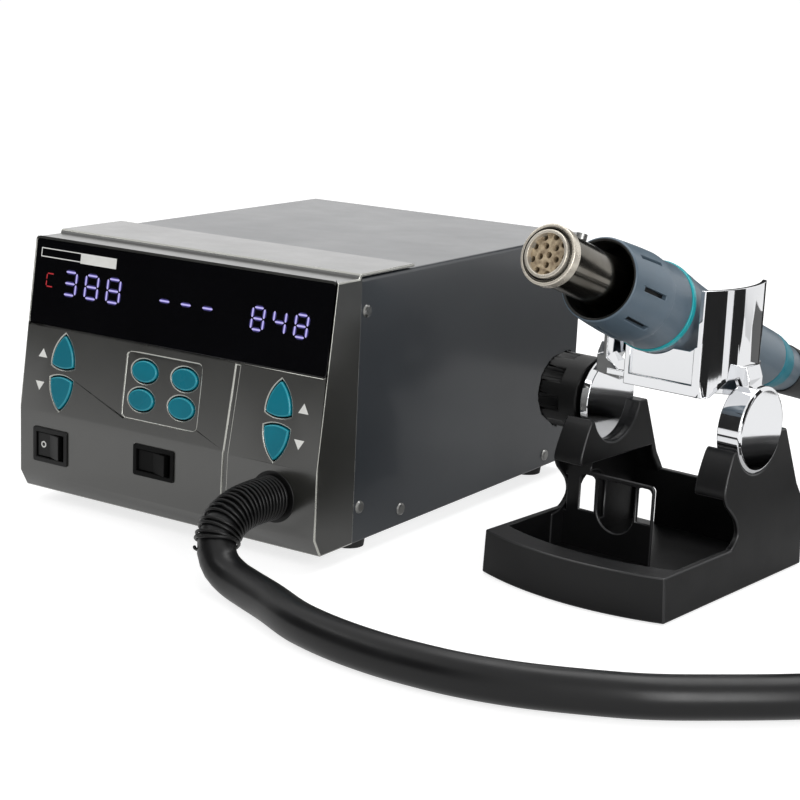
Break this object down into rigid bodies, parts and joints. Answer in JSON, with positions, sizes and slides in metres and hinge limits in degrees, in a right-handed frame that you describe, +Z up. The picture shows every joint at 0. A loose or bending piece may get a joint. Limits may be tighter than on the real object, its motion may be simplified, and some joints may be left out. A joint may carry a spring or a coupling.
{
  "type": "hot air rework station",
  "caption": "Hot air station with angled front panel, digital window, teal keys, hose and a gun held in a tilting chromed cradle on a black stand.",
  "frame": {"origin": "middle of the footprint of everything but the hose, on the ground", "axes": "+Z up, the front panel looks towards -Y, +X towards the stand at the right"},
  "size_m": [0.5107, 0.4685, 0.1766],
  "materials": {
    "bezel_plastic": "satin",
    "window": "gloss",
    "teal_keys": "satin",
    "cover_paint": "satin",
    "zinc_plate": "satin",
    "black_plastic": "satin",
    "stand_plastic": "satin",
    "rubber": "matt",
    "screw_steel": "satin",
    "board": "gloss",
    "core_iron": "matt",
    "fan_plastic": "satin",
    "chrome": "mirror",
    "tube_steel": "satin",
    "ceramic": "matt",
    "shell_plastic": "satin",
    "accent_teal": "gloss",
    "band_teal": "satin",
    "spring_wire": "satin"
  },
  "bodies": {
    "station": {"front_bezel": "bezel_plastic", "display_window": "window", "display_modules": "black_plastic", "control_board": "board", "power_switch_frame": "black_plastic", "set_switch_frame": "black_plastic", "top_cover": "cover_paint", "base_chassis": "zinc_plate", "rear_panel": "zinc_plate", "mains_inlet": "black_plastic", "rubber_feet": "rubber", "cover_screws": "screw_steel", "blower_housing": "black_plastic", "blower_cover": "black_plastic", "blower_motor": "screw_steel", "air_duct": "black_plastic", "power_board": "board", "transformer": "core_iron", "hose_gland": "black_plastic", "bend_spring": "spring_wire", "hose_main": "rubber", "stand_base": "stand_plastic", "stand_pads": "rubber", "pivot_washer": "screw_steel"},
    "cradle": {"cradle": "chrome", "clamp_bolt": "screw_steel"},
    "gun": {"outlet_collar": "tube_steel", "heater_tube": "tube_steel", "tube_clamp_screw": "screw_steel", "heater_core": "ceramic", "heater_mount": "ceramic", "guard_shell": "shell_plastic", "accent_ring": "accent_teal", "handle_shell": "shell_plastic", "grip_band": "band_teal", "tail_boot": "rubber", "air_tube": "screw_steel", "hose_tail": "rubber"},
    "tilt_knob": {"tilt_knob": "black_plastic"},
    "blower_impeller": {"blower_impeller": "fan_plastic"},
    "power_rocker": {"power_rocker": "black_plastic"},
    "set_rocker": {"set_rocker": "black_plastic"},
    "temp_up_key": {"temp_up_key": "teal_keys"},
    "temp_down_key": {"temp_down_key": "teal_keys"},
    "air_up_key": {"air_up_key": "teal_keys"},
    "air_down_key": {"air_down_key": "teal_keys"},
    "channel_1_key": {"channel_1_key": "teal_keys"},
    "channel_2_key": {"channel_2_key": "teal_keys"},
    "channel_3_key": {"channel_3_key": "teal_keys"},
    "channel_4_key": {"channel_4_key": "teal_keys"}
  },
  "joints": [
    {"name": "cradle_tilt", "type": "hinge", "parent": "station", "child": "cradle", "pos_m": [0.12577, -0.00442, 0.076], "axis": [-0.9939, 0.1101, 0], "range_deg": [-20, 8]},
    {"name": "gun_lift_off", "type": "slide", "parent": "cradle", "child": "gun", "axis": [0.0376, 0.3399, 0.9397], "range_m": [0, 0.05]},
    {"name": "tilt_knob_turn", "type": "hinge", "parent": "station", "child": "tilt_knob", "pos_m": [0.06926, 0.00184, 0.076], "axis": [-0.9939, 0.1101, 0], "range_deg": [-180, 180]},
    {"name": "impeller_spin", "type": "hinge", "parent": "station", "child": "blower_impeller", "pos_m": [-0.04134, 0.02427, 0.028], "axis": [0, 0, 1], "continuous": true},
    {"name": "power_rocker_tip", "type": "hinge", "parent": "station", "child": "power_rocker", "pos_m": [-0.15914, -0.13173, 0.03315], "axis": [0, 0, 1], "range_deg": [0, 18]},
    {"name": "set_rocker_tip", "type": "hinge", "parent": "station", "child": "set_rocker", "pos_m": [-0.09024, -0.13173, 0.037], "axis": [0, 0, 1], "range_deg": [0, 18]},
    {"name": "temp_up_key_press", "type": "slide", "parent": "station", "child": "temp_up_key", "axis": [0, 0.9904, -0.138], "range_m": [0, 0.001], "stiffness_N_per_m": 400, "springref_m": -0.0005},
    {"name": "temp_down_key_press", "type": "slide", "parent": "station", "child": "temp_down_key", "axis": [0, 0.9904, -0.138], "range_m": [0, 0.001], "stiffness_N_per_m": 400, "springref_m": -0.0005},
    {"name": "air_up_key_press", "type": "slide", "parent": "station", "child": "air_up_key", "axis": [0, 0.9904, -0.138], "range_m": [0, 0.001], "stiffness_N_per_m": 400, "springref_m": -0.0005},
    {"name": "air_down_key_press", "type": "slide", "parent": "station", "child": "air_down_key", "axis": [0, 0.9904, -0.138], "range_m": [0, 0.001], "stiffness_N_per_m": 400, "springref_m": -0.0005},
    {"name": "channel_1_key_press", "type": "slide", "parent": "station", "child": "channel_1_key", "axis": [0, 0.9904, -0.138], "range_m": [0, 0.001], "stiffness_N_per_m": 400, "springref_m": -0.0005},
    {"name": "channel_2_key_press", "type": "slide", "parent": "station", "child": "channel_2_key", "axis": [0, 0.9904, -0.138], "range_m": [0, 0.001], "stiffness_N_per_m": 400, "springref_m": -0.0005},
    {"name": "channel_3_key_press", "type": "slide", "parent": "station", "child": "channel_3_key", "axis": [0, 0.9904, -0.138], "range_m": [0, 0.001], "stiffness_N_per_m": 400, "springref_m": -0.0005},
    {"name": "channel_4_key_press", "type": "slide", "parent": "station", "child": "channel_4_key", "axis": [0, 0.9904, -0.138], "range_m": [0, 0.001], "stiffness_N_per_m": 400, "springref_m": -0.0005}
  ]
}
